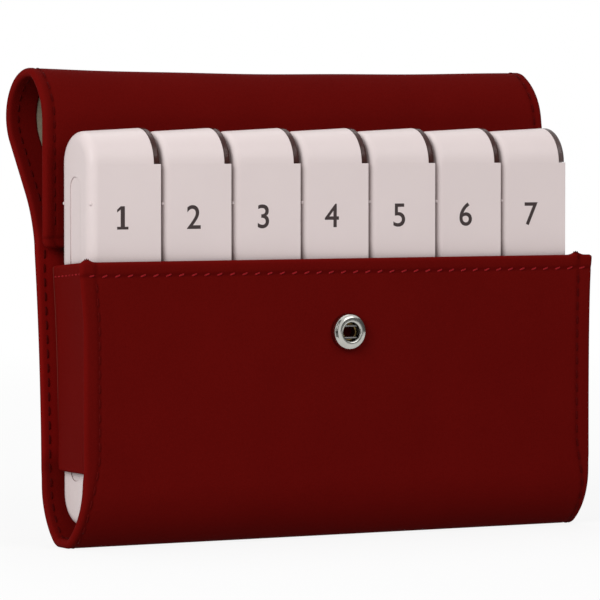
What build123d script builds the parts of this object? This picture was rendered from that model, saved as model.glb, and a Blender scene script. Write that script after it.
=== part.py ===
from build123d import *
import os
from math import asin, atan2, cos, degrees, radians, sin, sqrt, tan

# Weekly pill organizer: a faux-leather wallet with a rolled-back flap and a press stud, which holds
# seven upright day boxes, each with a sliding lid and loose dividers.
# Millimetres. X runs along the row of boxes, Y from front to back and Z up. The origin is the middle
# of the flat strip under the wallet's rounded bottom.

# Day boxes: trays open towards +X, round-ended in side view, narrowing towards their floor
days = ("monday", "tuesday", "wednesday", "thursday", "friday", "saturday", "sunday")
box_width = 19.0
box_depth = 17.8
box_height = 98.5
box_gap = 0.5
row_shift = -0.9
box_draft = 3.0
box_wall = 1.4
box_floor = 1.4
floor_round = 2.5
cavity_round = 1.5
band_width = 5.6
band_depth = 0.25
band_margin = 12.0

# Lids: a plate in grooves under the tray's lips, with a full-width round head at the top
lid_plate = 1.2
lid_lip = 0.5
lid_groove = 0.7
lid_clearance = 0.1
lid_head_round = 0.8

# Dividers: plates across each tray, which part it into equal compartments
divider_count = 3
divider_thickness = 1.0
divider_clearance = 0.1

# Wallet sheet: pocket front, rounded bottom and leaning back
leather = 1.6
lining = 0.4
pocket_height = 70.0
bottom_flat = 4.0
bottom_radius = 4.5
bend_height = 15.0
back_radius = 456.0
lining_drop = 5.0
lining_clearance = 0.2
box_side_clearance = 0.6
box_end_clearance = 1.2
box_seat_clearance = 0.3

# Gussets: channels sewn between pocket front and back, with their flanges turned outwards
gusset_leather = 1.2
gusset_bottom = 18.5
seam_allowance = 2.35
flange_setback = 0.4

# Flap: hinged at a crease above the pocket, rolled back into a loop, its end hanging behind the boxes.
# The loop is twisted about the crease: upright at the left and leaning back towards the right
crease_rise = 2.0
crease_gap = 0.3
sweep_radius = 31.0
slope_angle = 34.0
slope_length = 16.5
loop_radius = 12.0
top_radius = 6.0
top_turn = 40.0
loop_twist = 8.0
tip_rise = 0.9
flap_corner = 2.0
flap_border = 6.6
tip_border = 14.0
cloth_clearance = 0.1

# Press stud: socket on the pocket front, stud and cap near the flap's end
snap_height = 51.7
snap_shift = 1.0
snap_seat = 0.05
socket_diameter = 9.4
socket_hole = 4.7
socket_sheet = 0.5
eyelet_diameter = 4.2
eyelet_wall = 0.4
eyelet_flange_diameter = 7.6
eyelet_flange = 0.4
eyelet_lip = 0.35
eyelet_clearance = 0.1
wire_diameter = 0.6
wire_gap = 2.4
spring_room = 0.3
stud_inset = 9.0
stud_base_diameter = 7.6
stud_base = 0.5
stud_neck_diameter = 3.4
stud_head_diameter = 4.1
stud_rise = 2.4
cap_diameter = 10.4
cap_rise = 0.8
cap_clearance = 0.3
shank_diameter = 2.4
shank_clearance = 0.05

# Sizes that follow from these
box_pitch = box_width + box_gap
pocket_half_width = len(days) * box_pitch / 2 + box_end_clearance
half_width = pocket_half_width + gusset_leather + seam_allowance
half_depth = box_depth / 2 + box_side_clearance + lining + leather
end_radius = box_depth / 2
draft_slope = tan(radians(box_draft))

# The bottom's corner arc touches the side arc, which is upright at the bend height
corner_reach = half_depth - bottom_flat / 2
corner_drop = bend_height - bottom_radius
side_radius = (corner_reach**2 + corner_drop**2 - bottom_radius**2) / (
    2 * (corner_reach - bottom_radius)
)
side_turn = degrees(atan2(corner_drop, side_radius - corner_reach))
corner_turn = 90 - side_turn

# A box's round end rests between the two inner side arcs
seat_radius = side_radius - leather - lining - end_radius - box_seat_clearance
seat_drop = sqrt(seat_radius**2 - (side_radius - half_depth) ** 2)
box_bottom = bend_height - seat_drop - end_radius
box_middle = box_bottom + box_height / 2
lid_step = box_bottom + box_height - end_radius

# The back leans along a long arc up to the crease, where the flap starts
crease_height = pocket_height + crease_rise
crease_turn = degrees(asin((crease_height - bend_height) / back_radius))
crease_y = half_depth + back_radius * (1 - cos(radians(crease_turn)))
crease_along = Vector(sin(radians(crease_turn)), cos(radians(crease_turn)))
crease_inwards = Vector(-cos(radians(crease_turn)), sin(radians(crease_turn)))
crease_outer = Vector(crease_y, crease_height)
flap_start = crease_outer + crease_along * crease_gap
hinge = crease_outer + crease_along * (crease_gap / 2)
crease_axis = Axis((0, hinge.X, hinge.Y), (-1, 0, 0))

# The loop's last arc brings the sheet down just behind the boxes and the stud's cap
flap_front = box_depth / 2 + cap_clearance + cap_rise
tip_height = crease_height + tip_rise
stud_height = tip_height + stud_inset
loop_top_y = (
    flap_start.X
    + sweep_radius * (cos(radians(crease_turn)) - cos(radians(slope_angle)))
    + slope_length * sin(radians(slope_angle))
    - loop_radius * cos(radians(slope_angle))
)
top_end_y = loop_top_y - top_radius * sin(radians(top_turn))
front_radius = (top_end_y - flap_front) / (1 - sin(radians(top_turn)))

os.makedirs("parts", exist_ok=True)


def pouch_line(inset, front_top):
    """Draws the pocket's section from its front edge to the crease, inset from the outside."""
    front = Line((inset - half_depth, front_top), (inset - half_depth, bend_height))
    front_side = JernArc(front @ 1, front % 1, side_radius - inset, side_turn)
    front_corner = JernArc(
        front_side @ 1, front_side % 1, bottom_radius - inset, corner_turn
    )
    base = Line(front_corner @ 1, (bottom_flat / 2, inset))
    back_corner = JernArc(base @ 1, base % 1, bottom_radius - inset, corner_turn)
    back_side = JernArc(back_corner @ 1, back_corner % 1, side_radius - inset, side_turn)
    back = JernArc(back_side @ 1, back_side % 1, back_radius + inset, -crease_turn)
    return front @ 0, back @ 1


def flap_line(inset, tip):
    """Draws the flap's section from the crease round the loop to its tip, inset from the outside."""
    start = flap_start + crease_inwards * inset
    sweep_out = JernArc(
        start, crease_along, sweep_radius + inset, crease_turn - slope_angle
    )
    slope = PolarLine(sweep_out @ 1, slope_length, 90 - slope_angle)
    loop = JernArc(slope @ 1, slope % 1, loop_radius - inset, 90 + slope_angle)
    top = JernArc(loop @ 1, loop % 1, top_radius - inset, top_turn)
    front = JernArc(top @ 1, top % 1, front_radius - inset, 90 - top_turn)
    drop = Line(front @ 1, ((front @ 1).X, tip))
    return start, drop @ 1


def pouch_strip(near, far, front_top):
    """Fills the pocket's section between two insets."""
    with BuildSketch(Plane.YZ) as strip:
        with BuildLine():
            near_ends = pouch_line(near, front_top)
            far_ends = pouch_line(far, front_top)
            Line(near_ends[0], far_ends[0])
            Line(near_ends[1], far_ends[1])
        make_face()
    return strip.sketch


def flap_strip(x, near, far, tip, lean):
    """Fills the flap's section between two insets, leaning back about the crease."""
    with BuildSketch(Plane.YZ.offset(x)) as strip:
        with BuildLine():
            near_ends = flap_line(near, tip)
            far_ends = flap_line(far, tip)
            Line(near_ends[0], far_ends[0])
            Line(near_ends[1], far_ends[1])
        make_face()
    return strip.sketch.rotate(crease_axis, lean)


def flap_ends(near, far, tip):
    """Gives the flap's two end sections, for a loft that twists the loop."""
    left = flap_strip(-half_width, near, far, tip, 0)
    right = flap_strip(half_width, near, far, tip, loop_twist)
    return [left.face(), right.face()]


def gusset_section(x, inset):
    """Fills the pocket's inside at an inset, from the gusset's lower end to the pocket's edge."""
    with BuildSketch(Plane.YZ.offset(x)) as section:
        with BuildLine():
            ends = pouch_line(inset, pocket_height)
            Line(ends[1], ends[0])
        make_face()
        with Locations((0, (gusset_bottom + pocket_height) / 2)):
            Rectangle(
                4 * half_depth, pocket_height - gusset_bottom, mode=Mode.INTERSECT
            )
    return section.sketch


# Outward planes of the press stud: the profile's height runs out of the leather, and on the flap it
# leans back with the loop
socket_plane = Plane(
    (snap_shift, -half_depth, snap_height), x_dir=(1, 0, 0), z_dir=(0, 0, -1)
)
stud_lean = loop_twist * (snap_shift + half_width) / (2 * half_width)
stud_up = Vector(0, 0, 1).rotate(Axis.X, -stud_lean)
stud_out = Vector(0, 1, 0).rotate(Axis.X, -stud_lean)
hinge_point = Vector(snap_shift, hinge.X, hinge.Y)
upright_stud = Vector(snap_shift, flap_front, stud_height)
stud_point = hinge_point + (upright_stud - hinge_point).rotate(Axis.X, -stud_lean)
cap_plane = Plane(stud_point - stud_out * snap_seat, x_dir=(1, 0, 0), z_dir=-stud_up)
stud_plane = Plane(
    stud_point + stud_out * (leather + snap_seat), x_dir=(1, 0, 0), z_dir=stud_up
)
shank_plane = Plane(stud_point, x_dir=(1, 0, 0), z_dir=stud_out)
socket_axis = Axis(socket_plane.origin, socket_plane.y_dir)
cap_axis = Axis(cap_plane.origin, cap_plane.y_dir)
stud_axis = Axis(stud_plane.origin, stud_plane.y_dir)

# Pocket leather with the eyelet's hole, countersunk on the inside for the eyelet's flange
with BuildPart() as pouch_leather:
    extrude(pouch_strip(0, leather, pocket_height), amount=half_width, both=True)
    with BuildSketch(Plane.XZ.offset(half_depth)):
        with Locations((snap_shift, snap_height)):
            Circle(eyelet_diameter / 2 + eyelet_clearance)
    extrude(amount=-leather, mode=Mode.SUBTRACT)
    with BuildSketch(Plane.XZ.offset(half_depth - leather)):
        with Locations((snap_shift, snap_height)):
            Circle(eyelet_flange_diameter / 2 + eyelet_clearance)
    extrude(amount=eyelet_flange, mode=Mode.SUBTRACT)
pouch_leather.part.label = "pouch_leather"
export_step(pouch_leather.part, "parts/pouch_leather.step")

# Pocket lining, between the gussets
with BuildPart() as pouch_lining:
    lining_strip = pouch_strip(leather, leather + lining, pocket_height - lining_drop)
    extrude(lining_strip, amount=pocket_half_width - lining_clearance, both=True)
pouch_lining.part.label = "pouch_lining"
export_step(pouch_lining.part, "parts/pouch_lining.step")

# Gussets: a web beside the end box and two flanges that reach out to the seams
for gusset_name, side in (("gusset_left", -1), ("gusset_right", 1)):
    with BuildPart() as gusset:
        block = gusset_section(side * pocket_half_width, leather)
        extrude(block, amount=side * (gusset_leather + seam_allowance - flange_setback))
        web_x = side * (pocket_half_width + gusset_leather)
        channel = gusset_section(web_x, leather + gusset_leather)
        extrude(channel, amount=side * seam_allowance, mode=Mode.SUBTRACT)
    gusset.part.label = gusset_name
    export_step(gusset.part, f"parts/{gusset_name}.step")



def is_tip_corner(edge):
    """True for the short edges across the leather at the two ends of the flap's tip."""
    middle = edge.center()
    near_tip = middle.Z < tip_height + leather and middle.Y < flap_front + 2 * leather
    return near_tip and edge.length < 2 * leather


# Flap leather with rounded tip corners and the hole of the cap's shank
with BuildPart() as flap_leather:
    loft(flap_ends(0, leather, tip_height), ruled=True)
    fillet(flap_leather.edges().filter_by(is_tip_corner), flap_corner)
    with BuildSketch(shank_plane):
        Circle(shank_diameter / 2 + shank_clearance)
    extrude(amount=2 * leather, both=True, mode=Mode.SUBTRACT)
flap_leather.part.label = "flap_leather"
export_step(flap_leather.part, "parts/flap_leather.step")

# Flap lining, inside a leather border
with BuildPart() as flap_lining:
    cloth_back = leather + cloth_clearance
    loft(flap_ends(cloth_back, cloth_back + lining, tip_height + tip_border), ruled=True)
    split(bisect_by=Plane.YZ.offset(half_width - flap_border), keep=Keep.BOTTOM)
    split(bisect_by=Plane.YZ.offset(flap_border - half_width), keep=Keep.TOP)
flap_lining.part.label = "flap_lining"
export_step(flap_lining.part, "parts/flap_lining.step")

# Socket: a domed ring with a hollow for the spring, on a base plate with the eyelet's hole
socket_radius = socket_diameter / 2
eyelet_radius = eyelet_diameter / 2
wire_radius = wire_diameter / 2
eyelet_top = socket_sheet + eyelet_clearance + eyelet_lip
wire_height = eyelet_top + eyelet_clearance + wire_radius
socket_rise = wire_height + wire_radius + spring_room + socket_sheet
socket_shoulder = socket_rise / 3
crown_radius = socket_rise - socket_shoulder
with BuildPart() as snap_socket:
    with BuildSketch(socket_plane):
        with BuildLine():
            base = Line((eyelet_radius + eyelet_clearance, 0), (socket_radius, 0))
            wall = Line(base @ 1, (socket_radius, socket_shoulder))
            crown = JernArc(wall @ 1, wall % 1, crown_radius, 90)
            rim = Line(crown @ 1, (socket_hole / 2 + socket_sheet, socket_rise))
            lip = JernArc(rim @ 1, rim % 1, socket_sheet, 90)
            roof = Line(
                lip @ 1, (socket_radius - crown_radius, socket_rise - socket_sheet)
            )
            cove = JernArc(roof @ 1, roof % 1, crown_radius - socket_sheet, -90)
            inner_wall = Line(cove @ 1, (socket_radius - socket_sheet, socket_sheet))
            plate = Line(
                inner_wall @ 1, (eyelet_radius + eyelet_clearance, socket_sheet)
            )
            Line(plate @ 1, base @ 0)
        make_face()
    revolve(axis=socket_axis)
snap_socket.part.label = "snap_socket"
export_step(snap_socket.part, "parts/snap_socket.step")

# Spring: a hairpin of wire in the socket's hollow, its two legs across the hole
leg_offset = wire_gap / 2 + wire_radius
bend_reach = socket_radius - socket_sheet - wire_radius - spring_room
leg_start = -sqrt(bend_reach**2 - leg_offset**2)
leg_end = bend_reach - leg_offset
spring_plane = Plane(
    (snap_shift, -half_depth - wire_height, snap_height),
    x_dir=(1, 0, 0),
    z_dir=(0, -1, 0),
)
with BuildPart() as snap_spring:
    with BuildLine(spring_plane) as hairpin:
        upper_leg = Line((leg_start, leg_offset), (leg_end, leg_offset))
        spring_bend = JernArc(upper_leg @ 1, (1, 0), leg_offset, -180)
        Line((leg_end, -leg_offset), (leg_start, -leg_offset))
    with BuildSketch(Plane(upper_leg @ 0, z_dir=(1, 0, 0))):
        Circle(wire_radius)
    sweep(path=hairpin.line)
snap_spring.part.label = "snap_spring"
export_step(snap_spring.part, "parts/snap_spring.step")

# Eyelet: a tube through the pocket leather, flanged inside and rolled over in the socket
with BuildPart() as snap_eyelet:
    with BuildSketch(socket_plane):
        with BuildLine():
            bore = eyelet_radius - eyelet_wall
            Polyline(
                (bore, -leather),
                (eyelet_flange_diameter / 2, -leather),
                (eyelet_flange_diameter / 2, eyelet_flange - leather),
                (eyelet_radius, eyelet_flange - leather),
                (eyelet_radius, socket_sheet + eyelet_clearance),
                (eyelet_radius + eyelet_lip, socket_sheet + eyelet_clearance),
                (eyelet_radius, eyelet_top),
                (bore, eyelet_top),
                close=True,
            )
        make_face()
    revolve(axis=socket_axis)
snap_eyelet.part.label = "snap_eyelet"
export_step(snap_eyelet.part, "parts/snap_eyelet.step")

# Stud: a flanged button on the flap's inner side, bored for the cap's shank
stud_neck = stud_neck_diameter / 2
stud_head = stud_head_diameter / 2
shank_bore = shank_diameter / 2 + shank_clearance
shank_length = leather + stud_rise / 2
with BuildPart() as snap_stud:
    with BuildSketch(stud_plane):
        with BuildLine():
            head_round = stud_rise / 4
            stud_foot = Line((shank_bore, 0), (stud_base_diameter / 2, 0))
            stud_rim = Line(stud_foot @ 1, (stud_base_diameter / 2, stud_base))
            stud_top = Line(stud_rim @ 1, (stud_neck, stud_base))
            neck = Line(stud_top @ 1, (stud_neck, stud_rise / 2))
            swell = Line(neck @ 1, (stud_head, stud_rise - head_round))
            crown = JernArc(swell @ 1, (0, 1), head_round, 90)
            face = Line(crown @ 1, (0, stud_rise))
            core = Line(face @ 1, (0, shank_length - leather + shank_clearance))
            bore_end = Line(core @ 1, (shank_bore, (core @ 1).Y))
            Line(bore_end @ 1, stud_foot @ 0)
        make_face()
    revolve(axis=stud_axis)
snap_stud.part.label = "snap_stud"
export_step(snap_stud.part, "parts/snap_stud.step")

# Cap: a low dome on the flap's outer side, its shank through the leather into the stud
with BuildPart() as snap_cap:
    with BuildSketch(cap_plane):
        with BuildLine():
            dome = TangentArc((0, cap_rise), (cap_diameter / 2, 0), tangent=(1, 0))
            under = Line(dome @ 1, (shank_diameter / 2, 0))
            shank = Line(under @ 1, (shank_diameter / 2, -shank_length))
            shank_end = Line(shank @ 1, (0, -shank_length))
            Line(shank_end @ 1, dome @ 0)
        make_face()
    revolve(axis=cap_axis)
snap_cap.part.label = "snap_cap"
export_step(snap_cap.part, "parts/snap_cap.step")

# The lid's plate lies under the lips, in a groove with clearance on both faces
plate_top = lid_lip + lid_clearance
plate_bottom = plate_top + lid_plate
groove_bottom = plate_bottom + lid_clearance
rim_inside = end_radius - box_wall
cavity_depth = box_width - box_floor
divider_reach = groove_bottom + divider_clearance
divider_pitch = (box_height - 2 * box_wall + divider_thickness) / (divider_count + 1)
first_divider = box_bottom + box_wall + divider_pitch - divider_thickness


def tray_plane(rim_x, depth):
    """Looks into a tray from its rim: the plane's normal points towards the floor."""
    return Plane((rim_x - depth, 0, box_middle), x_dir=(0, 1, 0), z_dir=(-1, 0, 0))


def round_ended(inset):
    """Draws the tray's round-ended outline at the rim, inset all round."""
    return SlotOverall(box_height - 2 * inset, box_depth - 2 * inset, rotation=90)


def build_tray(name, rim_x):
    """Moulds a drafted tray with lid grooves and lips, cut away under the lid's round head."""
    with BuildPart() as tray:
        with BuildSketch(tray_plane(rim_x, 0)):
            round_ended(0)
        extrude(amount=box_width, taper=box_draft)
        fillet(tray.faces().sort_by(Axis.X)[0].edges(), floor_round)
        with BuildSketch(tray_plane(rim_x, 0)):
            round_ended(box_wall)
        extrude(amount=cavity_depth, taper=box_draft, mode=Mode.SUBTRACT)
        cavity_floor = tray.faces().filter_by(Axis.X).sort_by(Axis.X)[1]
        fillet(cavity_floor.edges(), cavity_round)
        with BuildSketch(tray_plane(rim_x, lid_lip)):
            round_ended(box_wall - lid_groove)
        extrude(amount=groove_bottom - lid_lip, mode=Mode.SUBTRACT)
        with BuildSketch(Plane.XY.offset(lid_step)):
            with Locations((rim_x, 0)):
                Rectangle(2 * groove_bottom, 2 * box_depth)
        extrude(amount=box_depth, mode=Mode.SUBTRACT)
        with BuildSketch(tray_plane(rim_x, box_width)):
            SlotOverall(box_height - 2 * band_margin, band_width, rotation=90)
        extrude(amount=-band_depth, mode=Mode.SUBTRACT)
    tray.part.label = name
    export_step(tray.part, f"parts/{name}.step")


def build_lid(name, rim_x):
    """Cuts a lid: a round-ended plate and, above the tray's step, a head as wide as the tray."""
    with BuildPart() as lid:
        with BuildSketch(tray_plane(rim_x, 0)):
            round_ended(0)
        extrude(amount=plate_bottom, taper=box_draft)
        head_edge = lid.faces().sort_by(Axis.X)[-1].edges()
        fillet(head_edge, lid_head_round)
        with BuildSketch(Plane.XY.offset(lid_step + lid_clearance)):
            with Locations((rim_x, 0)):
                Rectangle(4 * plate_bottom, 2 * box_depth)
        extrude(amount=-box_height, mode=Mode.SUBTRACT)
        with BuildSketch(tray_plane(rim_x, plate_top)):
            round_ended(box_wall - lid_groove + lid_clearance)
        extrude(amount=lid_plate)
    lid.part.label = name
    export_step(lid.part, f"parts/{name}.step")


def build_divider(name, rim_x, height):
    """Cuts a plate that fills the tray's drafted section, with its floor corners cut off."""
    near_half = rim_inside - divider_reach * draft_slope - divider_clearance
    far_depth = cavity_depth - divider_clearance
    far_half = rim_inside - far_depth * draft_slope - divider_clearance
    with BuildPart() as divider:
        with BuildSketch(Plane.XY.offset(height)):
            with BuildLine():
                Polyline(
                    (rim_x - divider_reach, -near_half),
                    (rim_x - divider_reach, near_half),
                    (rim_x - far_depth, far_half),
                    (rim_x - far_depth, -far_half),
                    close=True,
                )
            make_face()
        extrude(amount=divider_thickness)
        floor_corners = divider.edges().filter_by(Axis.Z).sort_by(Axis.X)[:2]
        chamfer(floor_corners, cavity_round)
    divider.part.label = name
    export_step(divider.part, f"parts/{name}.step")


# The seven boxes in their row, each rim towards +X
for index, day in enumerate(days):
    rim_x = (index - (len(days) - 1) / 2) * box_pitch + box_width / 2 + row_shift
    build_tray(f"{day}_tray", rim_x)
    build_lid(f"{day}_lid", rim_x)
    for number in range(divider_count):
        height = first_divider + number * divider_pitch
        build_divider(f"{day}_divider_{number + 1}", rim_x, height)
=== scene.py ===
from math import asin, atan2, cos, pi, radians, sin, tan

import bpy
import numpy as np
from mathutils import Matrix, Vector


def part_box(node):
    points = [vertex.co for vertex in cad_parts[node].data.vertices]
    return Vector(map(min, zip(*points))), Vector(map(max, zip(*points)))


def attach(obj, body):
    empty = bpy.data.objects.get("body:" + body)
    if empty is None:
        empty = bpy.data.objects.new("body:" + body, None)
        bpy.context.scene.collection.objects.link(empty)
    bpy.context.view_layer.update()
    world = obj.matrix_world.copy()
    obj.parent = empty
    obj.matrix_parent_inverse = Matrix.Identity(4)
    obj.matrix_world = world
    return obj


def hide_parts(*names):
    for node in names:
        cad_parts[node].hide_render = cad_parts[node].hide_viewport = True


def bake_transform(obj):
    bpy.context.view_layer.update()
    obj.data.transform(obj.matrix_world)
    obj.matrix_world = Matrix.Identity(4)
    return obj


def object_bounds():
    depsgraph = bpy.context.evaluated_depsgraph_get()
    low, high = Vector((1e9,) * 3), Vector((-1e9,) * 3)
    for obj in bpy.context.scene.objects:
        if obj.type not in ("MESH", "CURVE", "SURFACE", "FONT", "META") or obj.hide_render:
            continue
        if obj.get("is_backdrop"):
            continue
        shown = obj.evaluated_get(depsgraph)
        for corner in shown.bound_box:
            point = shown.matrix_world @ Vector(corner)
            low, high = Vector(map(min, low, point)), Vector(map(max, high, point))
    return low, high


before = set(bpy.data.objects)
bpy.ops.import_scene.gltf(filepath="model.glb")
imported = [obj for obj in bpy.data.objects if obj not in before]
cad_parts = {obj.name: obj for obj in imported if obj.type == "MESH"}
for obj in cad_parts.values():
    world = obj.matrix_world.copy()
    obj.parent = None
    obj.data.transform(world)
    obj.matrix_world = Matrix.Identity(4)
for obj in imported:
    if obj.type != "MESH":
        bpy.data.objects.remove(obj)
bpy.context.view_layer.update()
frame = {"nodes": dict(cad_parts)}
nodes = frame["nodes"]
scene = bpy.context.scene
scene.view_settings.view_transform = "Standard"
mm = 0.001

# Studio
# A long-lens camera stands left of the wallet, just above the table. Soft boxes light it from the
# left, the right and above, on a pale floor in a white room. A black card and a dark mat at the left
# and a grey card at the right are there only for bright metal to reflect.


class Wire:
    """A shader socket in a sum: each operator adds the Math node that works it out."""

    def __init__(self, nodes, socket):
        self.nodes = nodes
        self.socket = socket

    def output(self, name):
        return Wire(self.nodes, self.socket.node.outputs[name])

    def sum(self, operation, first, second):
        return self.nodes.add("Math", {0: first, 1: second}, operation=operation)

    def __add__(self, other):
        return self.sum("ADD", self, other)

    def __sub__(self, other):
        return self.sum("SUBTRACT", self, other)

    def __rsub__(self, other):
        return self.sum("SUBTRACT", other, self)

    def __mul__(self, other):
        return self.sum("MULTIPLY", self, other)

    __radd__ = __add__
    __rmul__ = __mul__


class Nodes:
    """A node tree that grows by one method: a node's type, its sockets and its settings."""

    def __init__(self, owner):
        owner.use_nodes = True
        self.owner = owner
        self.tree = owner.node_tree

    def add(self, kind, sockets=(), out=0, **settings):
        node = self.tree.nodes.new("ShaderNode" + kind)
        for key, value in settings.items():
            setattr(node, key, value)
        self.plug(node, sockets)
        return Wire(self, node.outputs[out])

    def plug(self, node, sockets):
        for key, value in dict(sockets).items():
            if isinstance(value, Wire):
                self.tree.links.new(value.socket, node.inputs[key])
            else:
                node.inputs[key].default_value = value

    def blend(self, share, first, second):
        """Mixes two colours by a share from 0 to 1, in the Mix node's colour sockets."""
        mixed = {0: share, 6: first, 7: second}
        return self.add("Mix", mixed, out=2, data_type="RGBA", clamp_factor=True)

    def shade(self, sockets):
        """Sets the material's own shader and gives the material back."""
        self.plug(self.tree.nodes["Principled BSDF"], sockets)
        return self.owner


def seen(tree):
    """1 for the rays that show the room: from the camera, in a gloss and through clear plastic."""
    ray = tree.add("LightPath", out="Is Camera Ray")
    return ray + ray.output("Is Glossy Ray") + ray.output("Is Transmission Ray")


def soft_box(name, place, aim, width, watts):
    lamp = bpy.data.lights.new(name, "AREA")
    lamp.size = width
    lamp.energy = watts
    box = bpy.data.objects.new(name, lamp)
    box.location = place
    box.rotation_euler = (Vector(aim) - Vector(place)).to_track_quat("-Z", "Y").to_euler()
    scene.collection.objects.link(box)


camera = bpy.data.objects.new("camera", bpy.data.cameras.new("camera"))
camera.data.sensor_width = 36
camera.data.lens = 253.3
camera.location = (-0.52136, -0.92649, 0.10075)
sight = Vector((-0.006134, 0, 0.059345)) - camera.location
camera.rotation_euler = sight.to_track_quat("-Z", "Y").to_euler()
scene.collection.objects.link(camera)
scene.camera = camera

middle = (0, 0, 0.06)
soft_box("left_box", (-1.0, -0.65, 0.6), middle, 0.7, 10.0)
soft_box("right_box", (0.5, -1.05, 0.8), middle, 0.8, 4.0)
soft_box("top_box", (0.1, 0.35, 1.15), middle, 0.8, 3.1)

scene.world = bpy.data.worlds.new("room")
room = Nodes(scene.world)
white = (1, 1, 1, 1)
dim = room.add("Background", {"Color": white, "Strength": 0.3})
bright = room.add("Background", {"Color": white, "Strength": 1.0})
walls = room.add("MixShader", {0: seen(room), 1: dim, 2: bright})
room.plug(room.tree.nodes["World Output"], {"Surface": walls})


def staged(name, corners, finish):
    """One flat face of the studio, which is no part of the wallet."""
    mesh = bpy.data.meshes.new(name)
    mesh.from_pydata(corners, [], [(0, 1, 2, 3)])
    mesh.materials.append(finish)
    face = bpy.data.objects.new(name, mesh)
    scene.collection.objects.link(face)
    face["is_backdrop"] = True
    return face


paper = Nodes(bpy.data.materials.new("paper"))
pale = paper.blend(seen(paper), (0.6, 0.6, 0.6, 1), white)
matt = paper.add("BsdfDiffuse", {"Color": pale})
glow = paper.add("Emission", {"Color": white, "Strength": 1.0})
spot = paper.add("TexCoord", out="Object")
reach = paper.add("VectorMath", {0: spot}, out="Value", operation="LENGTH")
fading = {"Value": reach, "From Min": 0.15, "From Max": 0.9, "To Min": 0.85, "To Max": 1.0}
lit = seen(paper) * paper.add("MapRange", fading)
ground = paper.add("MixShader", {0: lit, 1: matt, 2: glow})
paper.plug(paper.tree.nodes["Material Output"], {"Surface": ground})
floor_reach = 40
floor_corners = [(-1, -1), (1, -1), (1, 1), (-1, 1)]
staged("floor", [(x * floor_reach, y * floor_reach, 0) for x, y in floor_corners], paper.owner)


def card(name, corners, shade):
    """Board that is seen in reflections only."""
    board = Nodes(bpy.data.materials.new(name)).shade({"Base Color": (shade, shade, shade, 1)})
    face = staged(name, corners, board)
    face.visible_camera = False
    face.visible_diffuse = False
    face.visible_shadow = False


def upright(start, end, top):
    """Corners of a board that stands between two points of the floor."""
    return [(*start, 0), (*end, 0), (*end, top), (*start, top)]


black = 0.01
card_start, card_end = (-0.29, -0.47), (-0.55, -0.1)
mat_corners = [(-0.06, -0.12), card_start, card_end, (-0.11, -0.04)]
mat_height = 1 * mm
card("black_card", upright(card_start, card_end, 0.9), black)
card("dark_mat", [(*corner, mat_height) for corner in mat_corners], black)
card("grey_card", upright((0.2, -1.35), (0.9, 0.3), 0.5), 0.12)

# Sheet of the wallet
# One long strip of faux leather, 146 mm wide, is the pocket's front, its rounded bottom, its back and
# the flap, which is rolled back into a loop behind the boxes. Its edges are turned over and sewn.
half_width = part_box("pouch_leather")[1].x
half_depth = -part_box("pouch_leather")[0].y
pocket_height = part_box("gusset_left")[1].z
gusset_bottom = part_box("gusset_left")[0].z
flap_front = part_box("flap_leather")[0].y
leather = 1.6 * mm
bend_height = 15 * mm
bottom_flat = 4 * mm
bottom_radius = 4.5 * mm
back_radius = 456 * mm
crease_height = pocket_height + 2 * mm
crease_gap = 0.3 * mm
sweep_radius = 31 * mm
slope_length = 16.5 * mm
slope_angle = radians(34)
loop_radius = 12 * mm
top_radius = 6 * mm
top_turn = radians(40)
loop_twist = radians(8)
tip_height = crease_height + 0.9 * mm
corner_reach = half_depth - bottom_flat / 2
corner_drop = bend_height - bottom_radius
side_radius = (corner_reach**2 + corner_drop**2 - bottom_radius**2) / (
    2 * (corner_reach - bottom_radius)
)
side_turn = atan2(corner_drop, side_radius - corner_reach)
corner_turn = pi / 2 - side_turn
crease_turn = asin((crease_height - bend_height) / back_radius)
crease_y = half_depth + back_radius * (1 - cos(crease_turn))
hinge_y = crease_y + crease_gap / 2 * sin(crease_turn)
hinge_z = crease_height + crease_gap / 2 * cos(crease_turn)
loop_top_y = (
    crease_y
    + crease_gap * sin(crease_turn)
    + sweep_radius * (cos(crease_turn) - cos(slope_angle))
    + slope_length * sin(slope_angle)
    - loop_radius * cos(slope_angle)
)
loop_top_z = (
    crease_height
    + crease_gap * cos(crease_turn)
    + sweep_radius * (sin(slope_angle) - sin(crease_turn))
    + slope_length * cos(slope_angle)
    + loop_radius * (1 + sin(slope_angle))
)
front_radius = (loop_top_y - top_radius * sin(top_turn) - flap_front) / (1 - sin(top_turn))
drop_top = loop_top_z - top_radius * (1 - cos(top_turn)) - front_radius * cos(top_turn)
drop_length = drop_top - tip_height
runs = np.array(
    [
        (pocket_height - bend_height, 0),
        (side_radius * side_turn, side_turn),
        (bottom_radius * corner_turn, corner_turn),
        (bottom_flat, 0),
        (bottom_radius * corner_turn, corner_turn),
        (side_radius * side_turn, side_turn),
        (back_radius * crease_turn, -crease_turn),
        (crease_gap, 0),
        (sweep_radius * (slope_angle - crease_turn), crease_turn - slope_angle),
        (slope_length, 0),
        (loop_radius * (pi / 2 + slope_angle), pi / 2 + slope_angle),
        (top_radius * top_turn, top_turn),
        (front_radius * (pi / 2 - top_turn), pi / 2 - top_turn),
        (drop_length, 0),
    ]
)
run_starts = np.concatenate([[0], np.cumsum(runs[:, 0])])
bottom_start, bottom_end, back_start, crease = run_starts[[2, 5, 6, 7]]
loop_start, drop_start, sheet_length = run_starts[[10, 13, 14]]
front_seam_end = pocket_height - gusset_bottom
back_seam_start = back_start + gusset_bottom - bend_height
split = crease - 6 * mm


def ease(value, low, high):
    """Smooth step: 0 below low, 1 above high, with level ends."""
    share = np.clip((value - low) / (high - low), 0, 1)
    return share * share * (3 - 2 * share)


def bump(value, centre, spread):
    """Bell curve of height 1."""
    return np.exp(-(((value - centre) / spread) ** 2))


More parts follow.
